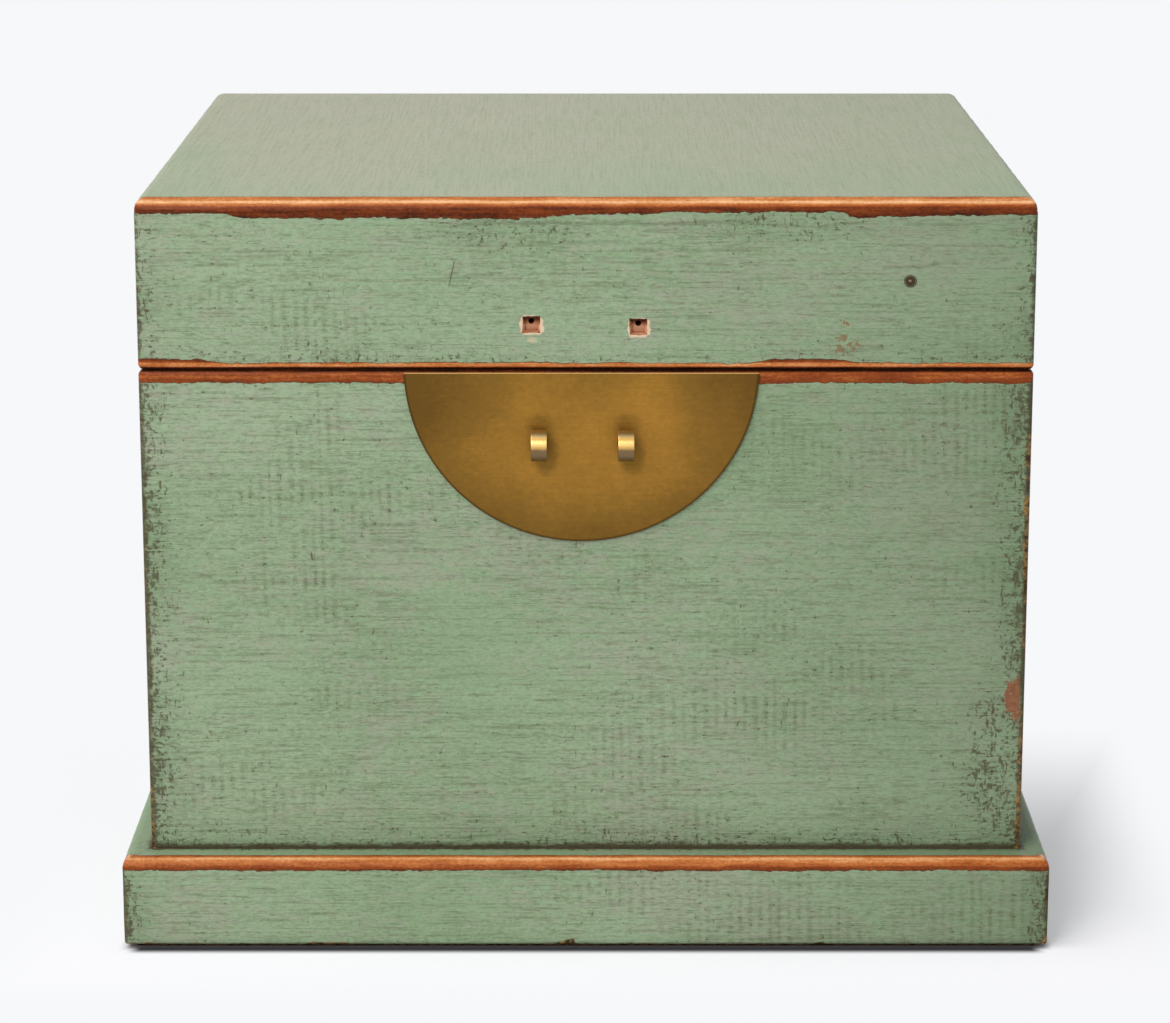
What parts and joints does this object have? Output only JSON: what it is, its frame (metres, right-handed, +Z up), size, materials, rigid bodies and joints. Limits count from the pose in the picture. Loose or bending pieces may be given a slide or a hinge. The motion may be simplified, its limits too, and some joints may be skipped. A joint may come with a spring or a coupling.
{
  "type": "wedding chest",
  "caption": "Painted wooden wedding chest: box with hinged flat lid on a projecting plinth, half-moon brass lock plate with staple eyes for a sliding padlock.",
  "frame": {"origin": "on the floor, under the middle of the plinth", "axes": "+X to the right seen from the front, -Y out of the front with the lock plate, +Z up"},
  "size_m": [0.636, 0.607, 0.518],
  "materials": {
    "green_lacquer": "worn sage-green lacquer on a cloth ground, bare reddish wood along the edges",
    "bare_wood": "plain reddish-brown wood, waxed",
    "aged_brass": "brushed brass with a warm brown patina"
  },
  "bodies": {
    "chest": {"body_front_board": "green_lacquer", "body_back_board": "green_lacquer", "body_left_board": "green_lacquer", "body_right_board": "green_lacquer", "bottom_panel": "bare_wood", "bottom_batten_left": "bare_wood", "bottom_batten_right": "bare_wood", "rim_lip_front": "bare_wood", "rim_lip_back": "bare_wood", "rim_lip_left": "bare_wood", "rim_lip_right": "bare_wood", "plinth_front_rail": "green_lacquer", "plinth_back_rail": "green_lacquer", "plinth_left_rail": "green_lacquer", "plinth_right_rail": "green_lacquer", "plinth_block_front_left": "bare_wood", "plinth_block_front_right": "bare_wood", "plinth_block_back_left": "bare_wood", "plinth_block_back_right": "bare_wood", "lock_plate": "aged_brass", "lock_staple_left": "aged_brass", "lock_staple_right": "aged_brass", "hinge_left_box_leaf": "aged_brass", "hinge_left_pin": "aged_brass", "hinge_left_box_screw_a": "aged_brass", "hinge_left_box_screw_b": "aged_brass", "hinge_left_box_screw_c": "aged_brass", "hinge_right_box_leaf": "aged_brass", "hinge_right_pin": "aged_brass", "hinge_right_box_screw_a": "aged_brass", "hinge_right_box_screw_b": "aged_brass", "hinge_right_box_screw_c": "aged_brass"},
    "lid": {"lid_top_panel": "green_lacquer", "lid_front_board": "green_lacquer", "lid_back_board": "green_lacquer", "lid_left_board": "green_lacquer", "lid_right_board": "green_lacquer", "lid_batten_left": "bare_wood", "lid_batten_right": "bare_wood", "hinge_left_lid_leaf": "aged_brass", "hinge_left_lid_screw_a": "aged_brass", "hinge_left_lid_screw_b": "aged_brass", "hinge_left_lid_screw_c": "aged_brass", "hinge_right_lid_leaf": "aged_brass", "hinge_right_lid_screw_a": "aged_brass", "hinge_right_lid_screw_b": "aged_brass", "hinge_right_lid_screw_c": "aged_brass"}
  },
  "joints": [
    {"name": "lid_hinge", "type": "hinge", "parent": "chest", "child": "lid", "pos_m": [0, 0.284, 0.4015], "axis": [-1, 0, 0], "range_deg": [0, 100]}
  ]
}
